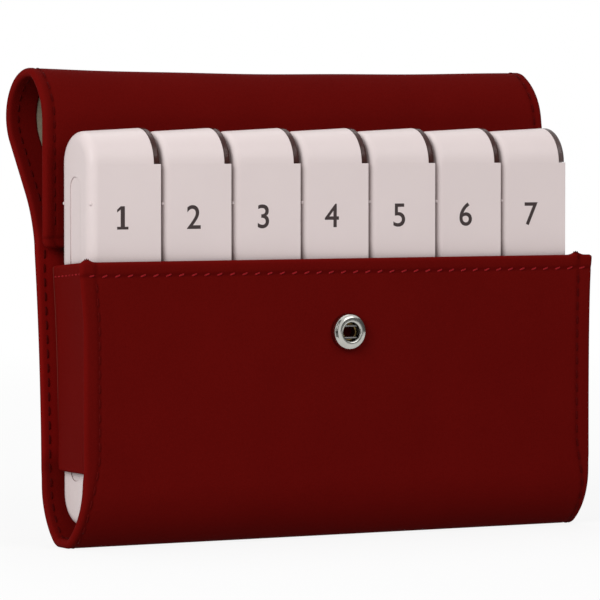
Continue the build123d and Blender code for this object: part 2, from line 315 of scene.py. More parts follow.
def sheet_line(along):
    """Point and heading of the sheet's outer line, at distances from the pocket's front edge.
    Straight runs and arcs follow each other: a run's chord is its length times the sine of half
    its turn over half its turn, and points half its turn on from its first heading."""
    lengths, turns = runs.T
    headings = np.concatenate([[0], np.cumsum(turns)]) - pi / 2
    chords = lengths * np.sinc(turns / 2 / pi)
    y_starts = np.concatenate([[0], np.cumsum(chords * np.cos(headings[:-1] + turns / 2))])
    z_starts = np.concatenate([[0], np.cumsum(chords * np.sin(headings[:-1] + turns / 2))])
    run = np.clip(np.searchsorted(run_starts, along, side="right") - 1, 0, len(runs) - 1)
    past = along - run_starts[run]
    turn = turns[run] * past / lengths[run]
    chord = past * np.sinc(turn / 2 / pi)
    y = y_starts[run] - half_depth + chord * np.cos(headings[run] + turn / 2)
    z = z_starts[run] + pocket_height + chord * np.sin(headings[run] + turn / 2)
    return y, z, headings[run] + turn


seam_tops = {-1: 1.9 * mm - half_width, 1: half_width - 4.6 * mm}
seam_rise = 0.7 * mm
seam_spread = 1.25 * mm
wave_depth = 0.12 * mm
middle_sag = 1.15 * mm
left_sag = 0.85 * mm
right_lift = 0.1 * mm
left_skew = 0.7 * mm
right_skew = 2.0 * mm
edge_flare = 0.25 * mm
corner_flare = 0.7 * mm
front_tuck = 1.15 * mm


def sheet_point(along, across, inset):
    """Point of the sheet at a distance along its line, an X and a depth in from its outside.
    The leather waves by a fraction of a millimetre, except where it stands, and the pocket's edge
    rises over the thick seams. The loop leans back about the crease, more towards its right end, sags
    a little in the middle and is rolled slightly askew, so that its end hangs further right. The
    pocket's right edge stands out a little and flares at its corner, and its front's left edge is
    tucked in below the hem."""
    over_seam = sum(bump(across, top, seam_spread) for top in seam_tops.values())
    along = along - seam_rise * over_seam * np.exp(-np.maximum(along, 0) / (3 * mm))
    y, z, heading = sheet_line(along)
    wave = np.sin(across / (17 * mm) + 0.7) * np.sin(along / (13 * mm) + 2.1)
    wave = wave + 0.5 * np.sin(across / (7.3 * mm) + along / (31 * mm) + 1.9)
    stands = ease(along, bottom_start - 8 * mm, bottom_start)
    stands = stands * (1 - ease(along, bottom_end, bottom_end + 8 * mm))
    inset = inset + wave_depth * wave * (1 - stands)
    y = y - inset * np.sin(heading)
    z = z + inset * np.cos(heading)
    share = np.clip((across + half_width) / (2 * half_width), 0, 1)
    lean = loop_twist * share * ease(along, crease - 3 * mm, crease + 9 * mm)
    back, rise = y - hinge_y, z - hinge_z
    y = hinge_y + back * np.cos(lean) + rise * np.sin(lean)
    z = hinge_z + rise * np.cos(lean) - back * np.sin(lean)
    sag = middle_sag * np.sin(pi * share) + left_sag * (1 - share) ** 1.5 - right_lift * share
    z = z - sag * ease(rise, 10 * mm, 42 * mm)
    skew = left_skew + (right_skew - left_skew) * share
    x = across + skew * ease(along, loop_start + 8 * mm, drop_start)
    flare = edge_flare * (1 - ease(along, split - 10 * mm, split))
    flare = flare + corner_flare * np.exp(-np.maximum(along, 0) / (7 * mm))
    x = x + flare * ease(across, 60 * mm, half_width)
    tuck = front_tuck * ease(along, 0, 18 * mm) * (1 - ease(along, 48 * mm, 76 * mm))
    x = x + tuck * ease(-across, 55 * mm, half_width)
    return np.stack(np.broadcast_arrays(x, y, z), axis=-1)


pocket_corner = 0.7 * mm
tip_corner = 2 * mm


def sheet_half(along):
    """Half width of the sheet, with a quarter circle taken off its corners at both ends."""
    end = np.clip((pocket_corner - along) / pocket_corner, 0, 1)
    tip = np.clip((along - sheet_length + tip_corner) / tip_corner, 0, 1)
    corner = pocket_corner * (1 - np.sqrt(1 - end**2)) + tip_corner * (1 - np.sqrt(1 - tip**2))
    return half_width - corner


front_margin = 4.0 * mm
back_margin = 1.9 * mm
flap_margin = 2.7 * mm


def stitch_margin(along):
    """How far the sewn line lies from the sheet's side edge: further in at the front's thick seam, and
    nearest to it round the bottom and up the back."""
    to_back = ease(along, 46 * mm, 62 * mm)
    to_flap = ease(along, crease - 8 * mm, crease + 8 * mm)
    at_back = front_margin - (front_margin - back_margin) * to_back
    return at_back + (flap_margin - back_margin) * to_flap


hem_stitch = 3.4 * mm
tip_stitch = 2.6 * mm
groove_width = 0.55 * mm
groove_depth = 0.16 * mm
hem_depth = 0.18 * mm
tip_depth = 0.14 * mm
edge_swell = 0.07 * mm
hem_swell = 0.1 * mm
pit_radius = 2 * mm
pit_slope = 0.3 * mm
pit_depth = 1.3 * mm
socket_low, socket_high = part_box("snap_socket")
snap_x = (socket_low.x + socket_high.x) / 2
snap_height = (socket_low.z + socket_high.z) / 2
stud_inset = 9 * mm


def eyelet_pit(along, across):
    """1 in the round pit where the press stud's eyelet goes through, 0 beside it."""
    reach = np.hypot(across - snap_x, along - (pocket_height - snap_height))
    return 1 - ease(reach, pit_radius - pit_slope, pit_radius + pit_slope)


def sheet_relief(along, across):
    """Depth of the outer face: a groove at each sewn line, a swelling between it and the edge, and the
    eyelet's pit."""
    margin = sheet_half(along) - np.abs(across)
    sewn = stitch_margin(along)
    depth = groove_depth * bump(margin, sewn, groove_width) - edge_swell * bump(margin, sewn / 2, sewn / 3)
    depth = depth + hem_depth * bump(along, hem_stitch, groove_width)
    depth = depth - hem_swell * bump(along, hem_stitch / 2, 2 * groove_width)
    depth = depth + tip_depth * bump(sheet_length - along, tip_stitch, groove_width)
    return depth + pit_depth * eyelet_pit(along, across)


turned_edge = 0.6 * mm
side_border_width = 7.8 * mm
tip_border_width = 13.6 * mm
border_slope = 0.7 * mm
stud_seat = 4.2 * mm
stud_slope = 1.3 * mm
cloth_gap = 0.05 * mm


def sheet_thickness(along, across):
    """Thickness of the sheet, which leaves a thin gap to the cloth. It is thicker where its edge is
    turned over, which is not so between the gussets' flanges or under the press stud's flat base."""
    margin = sheet_half(along) - np.abs(across)
    bottom = ease(along, front_seam_end, front_seam_end + 2 * mm)
    bottom = bottom * (1 - ease(along, back_seam_start - 2 * mm, back_seam_start))
    open_side = bottom + ease(along, crease - 1 * mm, crease + 3 * mm)
    side_border = 1 - ease(margin, side_border_width, side_border_width + border_slope)
    tip_border = 1 - ease(sheet_length - along, tip_border_width, tip_border_width + border_slope)
    from_stud = np.hypot(across - snap_x, sheet_length - along - stud_inset)
    border = np.maximum(side_border, tip_border) * ease(from_stud, stud_seat, stud_seat + stud_slope)
    return leather - cloth_gap + open_side * turned_edge * border


edge_round = 0.9 * mm


def section_loop(columns):
    """One turn round the sheet's section, as X and as share of the thickness: from the middle of the
    left edge over the outer face, round the right edge and back along the inner face."""
    turn = np.linspace(0, pi, 9)[1:-1]
    straight = columns - np.sign(columns) * edge_round * (np.abs(columns) / half_width)
    right = half_width - edge_round + edge_round * np.sin(turn)
    x = np.concatenate([straight, right, straight[::-1], -right])
    depth = (1 - np.cos(turn)) / 2
    share = np.concatenate([0 * columns, depth, 0 * columns + 1, 1 - depth])
    start = 2 * len(columns) + len(turn) + len(turn) // 2
    return np.roll(x, -start), np.roll(share, -start)


def skin(name, points, finish, **values):
    """Closed mesh from a grid of rows of points: each row is a closed turn, rows are joined by quads,
    and the first and last row are zipped shut across. Named values are kept for each point."""
    rows, turn = points.shape[:2]
    index = np.arange(rows * turn).reshape(rows, turn)
    ahead = np.roll(index, -1, axis=1)
    sides = np.stack([index[:-1], ahead[:-1], ahead[1:], index[1:]], axis=-1).reshape(-1, 4)
    half = np.arange(turn // 2 - 1)
    zipper = np.stack([half, turn - 1 - half, turn - 2 - half, half + 1], axis=-1)
    faces = np.concatenate([sides, zipper, (rows - 1) * turn + zipper[:, ::-1]])
    flat = points.reshape(-1, 3)
    fan = flat[faces]
    volume = np.einsum("ij,ij->", fan[:, 0], np.cross(fan[:, 1], fan[:, 2]))
    volume += np.einsum("ij,ij->", fan[:, 0], np.cross(fan[:, 2], fan[:, 3]))
    if volume < 0:
        faces = faces[:, ::-1]
    return solid(name, flat, faces, finish, **values)


def solid(name, points, faces, finish, **values):
    """Smooth mesh object from points and faces, creased only at sharp corners."""
    mesh = bpy.data.meshes.new(name)
    mesh.from_pydata(points.tolist(), [], faces.tolist())
    mesh.polygons.foreach_set("use_smooth", np.ones(len(mesh.polygons), bool))
    mesh.set_sharp_from_angle(angle=radians(50))
    for key, value in values.items():
        mesh.attributes.new(key, "FLOAT", "POINT").data.foreach_set(
            "value", np.ravel(value).astype(np.float32)
        )
    mesh.materials.append(finish)
    piece = bpy.data.objects.new(name, mesh)
    scene.collection.objects.link(piece)
    return piece


def red_leather():
    """Matt dark red, mottled by a few shades: rims worn brighter with a painted highlight, painted light
    on the turned border beside the gussets, painted shade in sewn grooves, and pale where a cut edge
    shows the backing. Pores of half a millimetre in a finer crinkle are its grain."""
    finish = Nodes(bpy.data.materials.new("red_leather"))
    place = finish.add("TexCoord", out="Object")
    mottle = finish.add("TexNoise", {"Vector": place, "Scale": 55, "Detail": 4})
    crinkle = finish.add("TexNoise", {"Vector": place, "Scale": 1500, "Detail": 2})
    pore = finish.add("TexVoronoi", {"Vector": place, "Scale": 1900}, feature="F1")
    edge = finish.add("Attribute", attribute_name="edge", out="Fac")
    groove = finish.add("Attribute", attribute_name="groove", out="Fac")
    backing = finish.add("Attribute", attribute_name="backing", out="Fac")
    hide = finish.blend(mottle, (0.110, 0.0029, 0.0022, 1), (0.136, 0.0040, 0.0030, 1))
    hide = finish.blend(pore * 0.2, hide, (0.07, 0.0008, 0.0007, 1))
    # Painted light: edge carries rims worn brighter with a painted highlight, and painted light on the
    # turned border beside the gussets.
    hide = finish.blend(edge * 0.5, hide, (0.19, 0.0045, 0.0036, 1))
    # Painted shade in the sewn grooves and the eyelet's pit.
    hide = finish.blend(groove * 0.4, hide, (0.045, 0.0007, 0.0007, 1))
    hide = finish.blend(backing, hide, (0.34, 0.17, 0.13, 1))
    height = pore * 0.6 + crinkle * 0.4
    grain = {"Height": height, "Strength": 0.22, "Distance": 0.00012}
    return finish.shade(
        {
            "Base Color": hide,
            "Roughness": mottle * 0.12 + pore * 0.06 + 0.58,
            "Specular IOR Level": 0.013,
            "Normal": finish.add("Bump", grain),
        }
    )


hide_finish = red_leather()
stain_width = 0.5 * mm
rim_wear_and_highlight_width = 0.45 * mm


def sheet_piece(name, along, columns):
    """Part of the sheet between the first and last of the given distances. Its section thins out in a
    round at the sheet's two ends. Its rim is worn brighter with a painted highlight, the turned border
    beside the gussets gets painted light, and the sewn lines, on the outside most, and the eyelet's pit
    get painted shade."""
    across, share = section_loop(columns)
    along = along[:, None]
    across = across[None, :] * sheet_half(along) / half_width
    outer = sheet_relief(along, across)
    inner = sheet_thickness(along, across)
    from_end = np.clip(np.minimum(along, sheet_length - along) / edge_round, 0, 1)
    plump = np.sqrt(np.clip(1 - (1 - from_end) ** 2, 0.02, 1))
    inset = outer + (inner - outer) * (0.5 + (share - 0.5) * plump)
    points = sheet_point(along, across, inset)
    margin = sheet_half(along) - np.abs(across)
    rim = np.minimum(margin, np.minimum(along, sheet_length - along))
    # Painted shade along the sewn lines, weaker on the inside, and in the eyelet's pit.
    groove = bump(margin, stitch_margin(along), stain_width)
    groove = np.maximum(groove, bump(along, hem_stitch, stain_width))
    groove = np.maximum(groove, bump(sheet_length - along, tip_stitch, stain_width))
    groove = groove * (1 - 0.6 * share) + 2.5 * eyelet_pit(along, across)
    # Rims worn brighter, with a painted highlight on them.
    edge = np.exp(-np.maximum(rim, 0) / rim_wear_and_highlight_width)
    # Painted light on the turned border beside the gussets, which lies in the gussets' shade.
    beside = ease(along, back_seam_start, back_seam_start + 6 * mm)
    beside = beside * (1 - ease(along, crease, crease + 8 * mm)) * ease(share, 0.5, 1)
    edge = edge + 2 * beside * (1 - ease(margin, 5 * mm, 8 * mm))
    edge, groove = np.broadcast_arrays(edge, groove)
    piece = skin(name, points, hide_finish, edge=edge, groove=groove, backing=0 * edge)
    return piece


def steps(*spans):
    """Distances from spans of (start, stop, spacing), sorted, with no two alike."""
    marks = np.concatenate([np.arange(a, b + s / 2, s) for a, b, s in spans])
    return np.unique(np.round(marks, 5))


half_columns = steps(
    (0, 6 * mm, 0.5 * mm),
    (8 * mm, 60 * mm, 2.6 * mm),
    (62 * mm, half_width, 0.5 * mm),
)
half_columns = half_columns[half_columns < half_width - 0.1 * mm]
columns = np.concatenate([-half_columns[:0:-1], half_columns])
columns = columns / half_columns[-1] * half_width
pocket_rows = steps(
    (0, 6 * mm, 0.3 * mm),
    (6 * mm, split - 1 * mm, 1.2 * mm),
    (12 * mm, 25 * mm, 0.5 * mm),
    (bottom_start - 1 * mm, bottom_end + 1 * mm, 0.4 * mm),
    (split, split, 1 * mm),
)
pocket_sheet = sheet_piece("pocket_sheet", pocket_rows, columns)
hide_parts("pouch_leather")
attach(pocket_sheet, "wallet")

# Flap
# The same strip goes on over the crease, back and up into the loop, and its rounded end hangs down
# between the loop and the boxes.
flap_rows = steps(
    (split, crease - 4 * mm, 1 * mm),
    (crease - 4 * mm, crease + 5 * mm, 0.4 * mm),
    (crease + 6 * mm, sheet_length - 6 * mm, 1.1 * mm),
    (sheet_length - 6 * mm, sheet_length, 0.3 * mm),
    (sheet_length, sheet_length, 1 * mm),
)


def bends_at_crease(piece):
    """Bakes the piece's placement into its mesh."""
    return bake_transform(piece)


flap_sheet = sheet_piece("flap_sheet", flap_rows, columns)
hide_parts("flap_leather")
bends_at_crease(flap_sheet)

# Gussets
# A strip of thinner leather closes each side of the pocket. Its web bends in behind the trays and is
# sewn to the back edge on. At the front a flange is turned outwards and sewn to the sheet.
gusset_leather = 1.2 * mm
gusset_cut = 23 * mm
gusset_length = pocket_height - gusset_bottom
top_drop = 1.7 * mm
gusset_hem = 2.7 * mm
gusset_corner = 2.5 * mm
gusset_round = 0.6 * mm
hem_groove = 0.15 * mm
bow_depth = 0.4 * mm
bow_length = 11 * mm
plan_knots = np.array([0, 0.06, 0.82, 0.93, 1.0])
plan_in = np.array([1.6, 2.5, 3.1, 4.4, 4.3]) * mm
plan_back = np.array([-3.6, -1.1, 0.3]) * mm
mean_span = 15


def gusset_points(side, height, turn):
    """Point of a gusset's middle: five corners in plan (front flange, front fold, bend behind the tray,
    back bend, back edge) are weighted by hat functions that a running mean has rounded. plan_in is how
    far they lie in from the sheet's edge, and plan_back how far the last three lie past the back's
    inside. The web also bows in and out by turns over its height."""
    fine = np.linspace(0, 1, 201)
    hats = np.stack([np.interp(fine, plan_knots, row) for row in np.eye(len(plan_knots))], axis=1)
    padded = np.pad(hats, ((mean_span // 2, mean_span // 2), (0, 0)), mode="edge")
    total = np.pad(np.cumsum(padded, axis=0), ((1, 0), (0, 0)))
    hats = (total[mean_span:] - total[:-mean_span]) / mean_span
    weight = np.stack([np.interp(turn, fine, column) for column in hats.T], axis=-1)
    back_out = back_radius - np.sqrt(back_radius**2 - (height - bend_height) ** 2)
    front = np.full_like(height, leather + gusset_leather / 2 - half_depth)
    back = back_out - front
    x = weight @ (half_width - plan_in)
    y = np.stack([front, front, *(back + step for step in plan_back)], axis=-1)
    bow = bow_depth * np.sin(pi * turn) * np.sin(height / bow_length)
    return side * (x + bow), np.einsum("...k,...k", weight, y)


def gusset(name, side):
    """Closed strip: the web's line moved both ways by half its thickness, with rounded hems and a
    rounded lower corner at the back."""
    height = steps(
        (gusset_bottom, gusset_bottom + 3 * mm, 0.3 * mm),
        (gusset_bottom + 4 * mm, pocket_height - 5 * mm, 1.5 * mm),
        (pocket_height - 5 * mm, pocket_height, 0.3 * mm),
    )[:, None]
    turn = np.linspace(0, 1, 121)[None, :]
    height, turn = np.broadcast_arrays(height, turn)
    corner = np.clip((turn - 0.87) / 0.13, 0, 1)
    lift = gusset_corner * (1 - np.sqrt(1 - corner**2))
    above = height - gusset_bottom
    height = height + lift * (1 - above / gusset_length) - top_drop * turn * above / gusset_length
    from_end = np.minimum(above, gusset_length - above)
    x, y = gusset_points(side, height, turn)
    small_turn = 0.005
    x_back, y_back = gusset_points(side, height, np.maximum(turn - small_turn, 0))
    x_on, y_on = gusset_points(side, height, np.minimum(turn + small_turn, 1))
    length = np.hypot(x_on - x_back, y_on - y_back)
    out_x, out_y = (y_on - y_back) / length, -(x_on - x_back) / length
    end = np.minimum(from_end / gusset_round, 1)
    plump = np.sqrt(np.clip(1 - (1 - end) ** 2, 0.03, 1))
    plump = plump * np.sqrt(np.clip(1 - (2 * turn - 1) ** 30, 0.05, 1))
    groove = bump(gusset_length - above, gusset_hem, stain_width)
    half = gusset_leather / 2 * plump
    near = np.stack([x + out_x * (half - hem_groove * groove), y + out_y * half, height], -1)
    far = np.stack([x - out_x * half, y - out_y * half, height], -1)
    points = np.concatenate([near, far[:, ::-1]], axis=1)
    # Painted light: the whole gusset is painted a little lighter, with painted highlights at its top and
    # bottom ends and along its front fold.
    edge = np.clip(0.4 + np.exp(-from_end / (0.5 * mm)) + 0.6 * np.exp(-turn / 0.02), 0, 1)
    edge = np.concatenate([edge, edge[:, ::-1]], axis=1)
    # Painted shade in the hem's groove and in a line along the back bend, on the outer face only.
    groove = np.maximum(groove, bump(turn, 0.975, 0.015))
    groove = np.concatenate([groove, 0 * groove], axis=1)
    backing = 0.3 * bump(turn, 0.95, 0.008) * ease(height, 26 * mm, 40 * mm)
    backing = np.concatenate([backing, backing[:, ::-1]], axis=1)
    piece = skin(name, points, hide_finish, edge=edge, groove=groove, backing=backing)
    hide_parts(name.replace("side_", "gusset_"))
    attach(piece, "wallet")


gusset("side_left", -1)
gusset("side_right", 1)

# Linings
# A thin beige cloth backs the leather: in the pocket between the gussets, and in the flap inside the
# turned edges, where the loop shows it.
threads_per_mm = 1 / 0.35


def lining_cloth():
    """Plain weave: warp and weft threads a third of a millimetre apart cross over and under, with a
    slubby tint."""
    finish = Nodes(bpy.data.materials.new("lining_cloth"))
    place = finish.add("UVMap", uv_map="weave")
    part = finish.add("SeparateXYZ", {"Vector": place}, out="X")
    warp = finish.add("Math", {0: part * (2 * pi * threads_per_mm)}, operation="SINE")
    weft = finish.add("Math", {0: part.output("Y") * (2 * pi * threads_per_mm)}, operation="SINE")
    slub = finish.add("TexNoise", {"Vector": place, "Scale": 0.9, "Detail": 3})
    cross = warp * weft * 0.5 + 0.5
    cloth = finish.blend(cross * 0.5 + slub * 0.5, (0.20, 0.165, 0.115, 1), (0.37, 0.32, 0.235, 1))
    bumps = {"Height": cross, "Strength": 0.35, "Distance": 0.0001}
    return finish.shade(
        {
            "Base Color": cloth,
            "Roughness": 0.9 - cross * 0.08,
            "Specular IOR Level": 0.2,
            "Normal": finish.add("Bump", bumps),
        }
    )


cloth_finish = lining_cloth()


def lining(name, along, reach, near, far):
    """Thin closed sheet on the leather's inside, between two insets; its weave map is in millimetres."""
    out = np.linspace(-reach, reach, 49)
    along = along[:, None]
    front = sheet_point(along, out[None, :], near)
    back = sheet_point(along, out[None, ::-1], far)
    piece = skin(name, np.concatenate([front, back], axis=1), cloth_finish)
    flat = np.stack(
        np.broadcast_arrays(np.concatenate([out, out[::-1]])[None, :], along), axis=-1
    ).reshape(-1, 2)
    corner = np.empty(len(piece.data.loops), np.int32)
    piece.data.loops.foreach_get("vertex_index", corner)
    weave = piece.data.uv_layers.new(name="weave")
    weave.data.foreach_set("uv", (flat[corner] / mm).astype(np.float32).ravel())
    return piece


pocket_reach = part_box("pouch_lining")[1].x - 4 * mm
pocket_cloth_rows = steps((5 * mm, split - 1 * mm, 1.5 * mm), (split, split, mm))
pocket_cloth = lining("pocket_cloth", pocket_cloth_rows, pocket_reach, near=1.58 * mm, far=1.98 * mm)
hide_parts("pouch_lining")
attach(pocket_cloth, "wallet")
flap_reach = half_width - 7.6 * mm
flap_cloth_end = sheet_length - 13.2 * mm
flap_cloth_rows = steps((split, crease + 6 * mm, 0.6 * mm), (crease + 7 * mm, flap_cloth_end, 1.2 * mm))
flap_cloth = lining("flap_cloth", flap_cloth_rows, flap_reach, near=1.52 * mm, far=1.95 * mm)
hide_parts("flap_lining")
bends_at_crease(flap_cloth)

# Stitching
# Red thread: short bright stitches along the hems of pocket and gussets. Elsewhere the thread gets
# painted shade: darker in the right seam and round the flap, darkest on the inside, and in the left
# seam some of the leather's own shade. Three turns of it wrap the edge at the top of each front seam.


def thread_finish(name, dark, light):
    """Twisted thread: fine stripes of two shades, satin."""
    finish = Nodes(bpy.data.materials.new(name))
    place = finish.add("TexCoord", out="Object")
    twist = finish.add("TexWave", {"Vector": place, "Scale": 900, "Distortion": 1.5}, out="Fac")
    stripes = {"Height": twist, "Strength": 0.4, "Distance": 0.00008}
    return finish.shade(
        {
            "Base Color": finish.blend(twist, dark, light),
            "Roughness": twist * 0.1 + 0.55,
            "Specular IOR Level": 0.03,
            "Normal": finish.add("Bump", stripes),
        }
    )


hem_thread = thread_finish("hem_thread", (0.20, 0.005, 0.007, 1), (0.36, 0.02, 0.025, 1))
# Painted shade: darker copies of the red thread for the seams, the inside and the left seam.
shaded_seam_thread = thread_finish("shaded_seam_thread", (0.058, 0.0012, 0.0011, 1), (0.09, 0.002, 0.0018, 1))
shaded_border_thread = thread_finish("shaded_border_thread", (0.05, 0.0009, 0.0009, 1), (0.08, 0.0015, 0.0014, 1))
sunk_thread = thread_finish("sunk_thread", (0.08, 0.0019, 0.0016, 1), (0.11, 0.003, 0.0024, 1))
pitch = 3.5 * mm
long_stitch = 2.7 * mm
short_stitch = 1.7 * mm
fine_pitch = 2.1 * mm
fine_stitch = 1.3 * mm
thread = 0.24 * mm
stitch_rings = 7
thread_sides = 6
nudge = 0.05 * mm


def stitches(name, first, last, surface, finish, length=long_stitch, spacing=pitch, proud=0.35):
    """Row of stitches between two distances on a line. surface(distance, height) gives points at a
    height over the leather. Each stitch is a bent spindle: its middle lies on the leather, proud by
    a share of its radius, its ends dive into it, and its six-sided rings shrink towards them. Two
    quads close each end."""
    count = max(int(round((last - first) / spacing)), 1)
    centre = first + (np.arange(count) + 0.5) * (last - first) / count
    step = np.linspace(-1, 1, stitch_rings)
    at = centre[:, None] + step[None, :] * length / 2
    height = np.broadcast_to(thread * (proud - 1.5 * step**4), at.shape)
    spine = surface(at, height)
    along = surface(at + nudge, height) - surface(at - nudge, height)
    up = surface(at, height + nudge) - surface(at, height - nudge)
    along = along / np.linalg.norm(along, axis=-1, keepdims=True)
    up = up / np.linalg.norm(up, axis=-1, keepdims=True)
    sideways = np.cross(along, up)
    here = np.arange(thread_sides)
    turn = here * 2 * pi / thread_sides
    girth = thread * np.sqrt(np.clip(1 - 0.9 * step**6, 0, 1))[None, :, None, None]
    ring = np.cos(turn)[:, None] * sideways[:, :, None] + np.sin(turn)[:, None] * up[:, :, None]
    points = (spine[:, :, None] + girth * ring).reshape(-1, 3)
    rings = np.arange(count * stitch_rings).reshape(count, stitch_rings, 1) * thread_sides
    rings, next_rings = rings[:, :-1], rings[:, 1:]
    beside = np.roll(here, -1)
    walls = [rings + here, rings + beside, next_rings + beside, next_rings + here]
    walls = np.stack(walls, axis=-1).reshape(-1, 4)
    near = rings[:, 0] + here[None, ::-1]
    far = next_rings[:, -1] + here[None, :]
    ends = np.concatenate([near[:, :4], near[:, [3, 4, 5, 0]], far[:, :4], far[:, [3, 4, 5, 0]]])
    return solid(name, points, np.concatenate([walls, ends]), finish)


def on_outside(along, across, height):
    return sheet_point(along, across, sheet_relief(along, across) - height)


def on_inside(along, across, height):
    return sheet_point(along, across, sheet_thickness(along, across) + height)


def hem_line(distance, height):
    """Across the pocket's front edge; each stitch slants up to the right by a third of its length."""
    slant = 0.33 * (distance - distance.mean(axis=1, keepdims=True))
    return on_outside(hem_stitch - slant, distance, height)


def tip_line(distance, height):
    return on_outside(sheet_length - tip_stitch + 0 * distance, distance, height)


def tip_line_inside(distance, height):
    return on_inside(sheet_length - tip_stitch + 0 * distance, distance, height)


def seam_x(along, side):
    return side * (sheet_half(along) - stitch_margin(along))


def sews_wallet(piece):
    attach(piece, "wallet")


wrap_reach = 2.4 * mm
wrap_spread = 0.13
seam_start = 4.5 * mm
gusset_hem_ends = (3 * mm, 19 * mm)
hem_end = half_width - 1.2 * mm
sews_wallet(
    stitches("hem_stitches", -hem_end, hem_end, hem_line, hem_thread, short_stitch, proud=0.5)
)
tip_end = half_width - 4.5 * mm
flap_end = sheet_length - 5 * mm
bends_at_crease(stitches("tip_stitches", -tip_end, tip_end, tip_line, shaded_seam_thread))
bends_at_crease(stitches("tip_stitches_inside", -tip_end, tip_end, tip_line_inside, shaded_border_thread))
for side_name, side, seam_finish in (("left", -1, sunk_thread), ("right", 1, shaded_seam_thread)):

    def seam_line(along, height):
        return on_outside(along, seam_x(along, side), height)

    def border_line(along, height):
        return on_inside(along, seam_x(along, side), height)

    def wrap_line(distance, height):
        """Half a turn round the sheet's edge at each stitch, side by side."""
        centre = distance.mean(axis=1, keepdims=True)
        turn = (distance - centre) / long_stitch * pi
        inset = leather / 2 + (leather / 2 + height) * np.sin(turn)
        along = wrap_reach * (1 - np.cos(turn)) - height * np.cos(turn)
        return sheet_point(along, seam_tops[side] + wrap_spread * centre, inset)

    seams = stitches(f"seam_stitches_{side_name}", seam_start, split, seam_line, seam_finish)
    sews_wallet(seams)
    border = f"border_stitches_{side_name}"
    sews_wallet(stitches(border, front_seam_end + 2 * mm, split, border_line, shaded_border_thread))
    wrap = f"wrap_stitch_{side_name}"
    sews_wallet(stitches(wrap, -1.5 * pitch, 1.5 * pitch, wrap_line, shaded_seam_thread, proud=0.3))
    bends_at_crease(stitches(f"flap_stitches_{side_name}", split, flap_end, seam_line, shaded_seam_thread))
    bends_at_crease(
        stitches(f"loop_stitches_{side_name}", split, flap_end, border_line, shaded_border_thread)
    )

    def gusset_hem_line(turn, height):
        share = turn / gusset_cut
        level = pocket_height - gusset_hem - top_drop * share
        x, y = gusset_points(side, level, share)
        return np.stack([x + side * (gusset_leather / 2 - 0.1 * mm + height), y, level], axis=-1)

    hem = f"gusset_stitches_{side_name}"
    sews_wallet(
        stitches(hem, *gusset_hem_ends, gusset_hem_line, hem_thread, fine_stitch, fine_pitch, 0.3)
    )

# Day boxes
# Seven white moulded trays stand in the pocket, open to the right, with three loose dividers each.
# A plain number is printed on the front of each, and small moulded pips stand on the floor's edges.


def moulded_white():
    """Faintly pink white with a satin skin, the pink partly painted bounce light from the red leather:
    soft blotches, a fine spark-eroded texture, edges rounded by a fifth of a millimetre and a painted
    brown shade where other surfaces lie close, as in the narrow gaps between the boxes."""
    finish = Nodes(bpy.data.materials.new("white_plastic"))
    place = finish.add("TexCoord", out="Object")
    blotch = finish.add("TexNoise", {"Vector": place, "Scale": 70, "Detail": 3})
    speck = finish.add("TexNoise", {"Vector": place, "Scale": 5200, "Detail": 1})
    rounded = finish.add("Bevel", {"Radius": 0.0002}, samples=6)
    texture = {"Height": speck, "Strength": 0.06, "Distance": 0.00005, "Normal": rounded}
    open_sky = finish.add("AmbientOcclusion", {"Distance": 0.005}, out="AO", samples=8)
    # Faint pink, partly painted bounce light from the red leather.
    white = finish.blend(blotch, (0.77, 0.665, 0.655, 1), (0.81, 0.70, 0.69, 1))
    return finish.shade(
        {
            # Painted shade: brown where ambient occlusion finds other surfaces close by, as in the gaps
            # between the boxes.
            "Base Color": finish.blend((1 - open_sky) * 1.5 - 0.45, white, (0.12, 0.04, 0.036, 1)),
            "Roughness": blotch * 0.1 + 0.36,
            "Specular IOR Level": 0.3,
            "Normal": finish.add("Bump", texture),
        }
    )


white_finish = moulded_white()
days = ("monday", "tuesday", "wednesday", "thursday", "friday", "saturday", "sunday")
for node_name, node in nodes.items():
    if node_name.endswith("_tray") or "_divider_" in node_name:
        node.data.materials.clear()
        node.data.materials.append(white_finish)
pip_radius = 0.5 * mm
pip_height = 84 * mm
pip_in, pip_out = 0.73 * mm, 7.17 * mm
pip_sides, pip_rings = 10, 4
pip_lean = np.linspace(0, pi / 2, pip_rings)[None, :]
pip_turn = np.linspace(0, 2 * pi, pip_sides + 1)[:-1, None]
pip_x, pip_y = np.cos(pip_turn) * np.sin(pip_lean), np.sin(pip_turn) * np.sin(pip_lean)
pip_grid = np.arange(pip_sides * pip_rings).reshape(pip_sides, pip_rings)
pip_next = np.roll(pip_grid, -1, axis=0)
pip_faces = np.stack([pip_grid[:, :-1], pip_next[:, :-1], pip_next[:, 1:], pip_grid[:, 1:]], axis=-1)
pip_faces = pip_faces.reshape(-1, 4)
for day in days:
    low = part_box(day + "_tray")[0]
    for end, side in (("front", -1), ("back", 1)):
        outward = np.array([-1, side, 0]) / np.sqrt(2)
        sideways = np.array([side, 1, 0]) / np.sqrt(2)
        spot = np.array([low.x + pip_in, side * pip_out, pip_height])
        dome = pip_x[..., None] * sideways + pip_y[..., None] * np.array([0, 0, 1])
        dome = spot + pip_radius * (dome + np.cos(pip_lean)[..., None] * outward)
        pip = solid(f"{day}_pip_{end}", dome.reshape(-1, 3), pip_faces, white_finish)
        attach(pip, day + "_box")

# Lids
# Smoky clear plates slide in grooves under the trays' lips; each has a thicker round head at the top,
# which shows as a dark crescent.
head_start, head_full = 93.2 * mm, 94.2 * mm
plate_tint, head_tint = 0.45, 0.8


